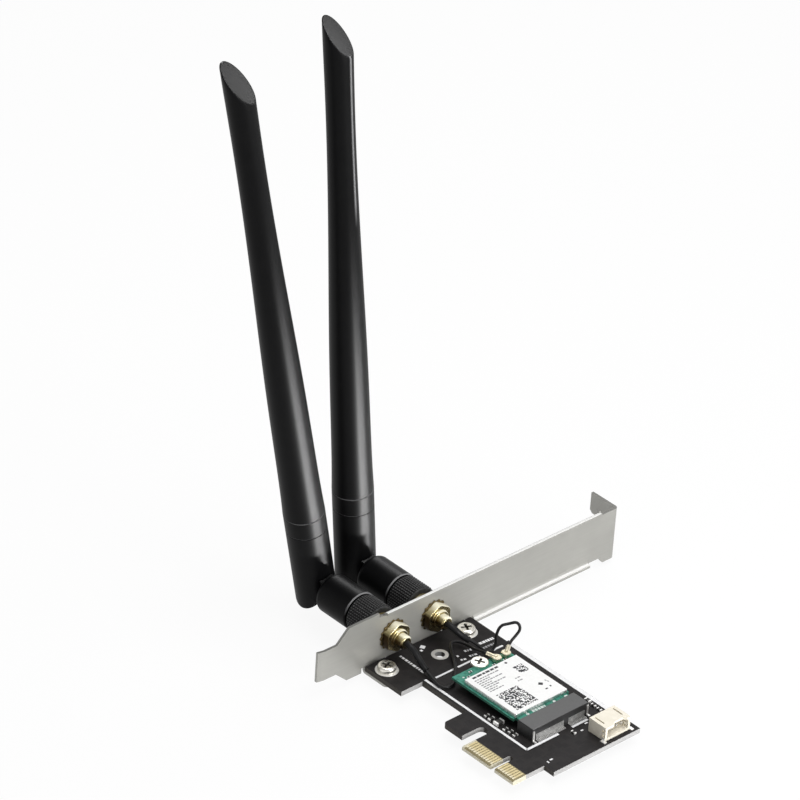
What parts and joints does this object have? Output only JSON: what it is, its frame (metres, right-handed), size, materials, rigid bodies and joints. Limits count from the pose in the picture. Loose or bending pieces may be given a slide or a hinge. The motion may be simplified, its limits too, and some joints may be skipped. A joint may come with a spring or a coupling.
{
  "type": "wireless network card",
  "caption": "Slot-in wireless network card with a sheet bracket, a black board, a shielded radio module and hinged whip antennas that screw onto jacks.",
  "frame": {"origin": "middle of the key notch on the board's contact edge, halfway through the board", "axes": "+X from the bracket into the computer, +Y from the contact edge towards the bracket's bent tab, +Z out of the component side, the way the antennas stand"},
  "size_m": [0.1119, 0.1352, 0.1992],
  "materials": {
    "bracket_steel": "plain zinc-plated sheet",
    "board_black": "black solder mask",
    "pad_tin": "tinned",
    "contact_gold": "gold-plated",
    "screw_steel": "plated",
    "module_green": "green solder mask",
    "shield_tin": "tinned",
    "label_white": "printed paper",
    "chip_dark": "dark ceramic and epoxy",
    "socket_dark": "moulded",
    "lead_tin": "tinned",
    "header_ivory": "moulded",
    "jack_gold": "gold-plated",
    "insulator_white": "turned",
    "cable_black": "smooth jacket",
    "antenna_black": "satin moulded",
    "radiator_strip": "printed strip"
  },
  "bodies": {
    "card": {"bracket": "bracket_steel", "main_board": "board_black", "mounting_pads": "pad_tin", "edge_contacts": "contact_gold", "bracket_screws": "screw_steel", "module_standoff": "screw_steel", "module_screw": "screw_steel", "module_board": "module_green", "module_shield": "shield_tin", "module_label": "label_white", "module_chips": "chip_dark", "module_receptacles": "contact_gold", "socket_housing": "socket_dark", "socket_contacts": "lead_tin", "socket_anchors": "lead_tin", "header_housing": "header_ivory", "header_pins": "lead_tin", "header_feet": "lead_tin", "board_chips": "chip_dark", "jack_body_left": "jack_gold", "jack_washer_left": "jack_gold", "jack_nut_left": "jack_gold", "jack_insulator_left": "insulator_white", "jack_pin_left": "jack_gold", "ferrule_left": "jack_gold", "pigtail_sleeve_left": "cable_black", "pigtail_left": "cable_black", "pigtail_plug_left": "contact_gold", "jack_body_right": "jack_gold", "jack_washer_right": "jack_gold", "jack_nut_right": "jack_gold", "jack_insulator_right": "insulator_white", "jack_pin_right": "jack_gold", "ferrule_right": "jack_gold", "pigtail_sleeve_right": "cable_black", "pigtail_right": "cable_black", "pigtail_plug_right": "contact_gold"},
    "collar_left": {"antenna_collar_left": "antenna_black", "collar_insert_left": "jack_gold"},
    "elbow_left": {"elbow_left": "antenna_black", "antenna_contact_left": "jack_gold"},
    "whip_left": {"hinge_pin_left": "screw_steel", "paddle_base_left": "antenna_black", "paddle_sleeve_left": "antenna_black", "radiator_left": "radiator_strip"},
    "collar_right": {"antenna_collar_right": "antenna_black", "collar_insert_right": "jack_gold"},
    "elbow_right": {"elbow_right": "antenna_black", "antenna_contact_right": "jack_gold"},
    "whip_right": {"hinge_pin_right": "screw_steel", "paddle_base_right": "antenna_black", "paddle_sleeve_right": "antenna_black", "radiator_right": "radiator_strip"}
  },
  "joints": [
    {"name": "collar_turn_left", "type": "hinge", "parent": "card", "child": "collar_left", "pos_m": [-0.0685, 0.01433, 0.008], "axis": [1, 0, 0], "continuous": true},
    {"name": "swivel_left", "type": "hinge", "parent": "card", "child": "elbow_left", "pos_m": [-0.0685, 0.01433, 0.008], "axis": [1, 0, 0], "range_deg": [-5.7, 77.8]},
    {"name": "tilt_left", "type": "hinge", "parent": "elbow_left", "child": "whip_left", "pos_m": [-0.09311, 0.01433, 0.008], "axis": [0, -0.9774, -0.2113], "range_deg": [0, 90]},
    {"name": "collar_turn_right", "type": "hinge", "parent": "card", "child": "collar_right", "pos_m": [-0.0685, 0.03043, 0.008], "axis": [1, 0, 0], "continuous": true},
    {"name": "swivel_right", "type": "hinge", "parent": "card", "child": "elbow_right", "pos_m": [-0.0685, 0.03043, 0.008], "axis": [1, 0, 0], "range_deg": [-95.9, 0.6]},
    {"name": "tilt_right", "type": "hinge", "parent": "elbow_right", "child": "whip_right", "pos_m": [-0.09311, 0.03043, 0.008], "axis": [0, -0.9947, -0.1028], "range_deg": [0, 90]}
  ]
}
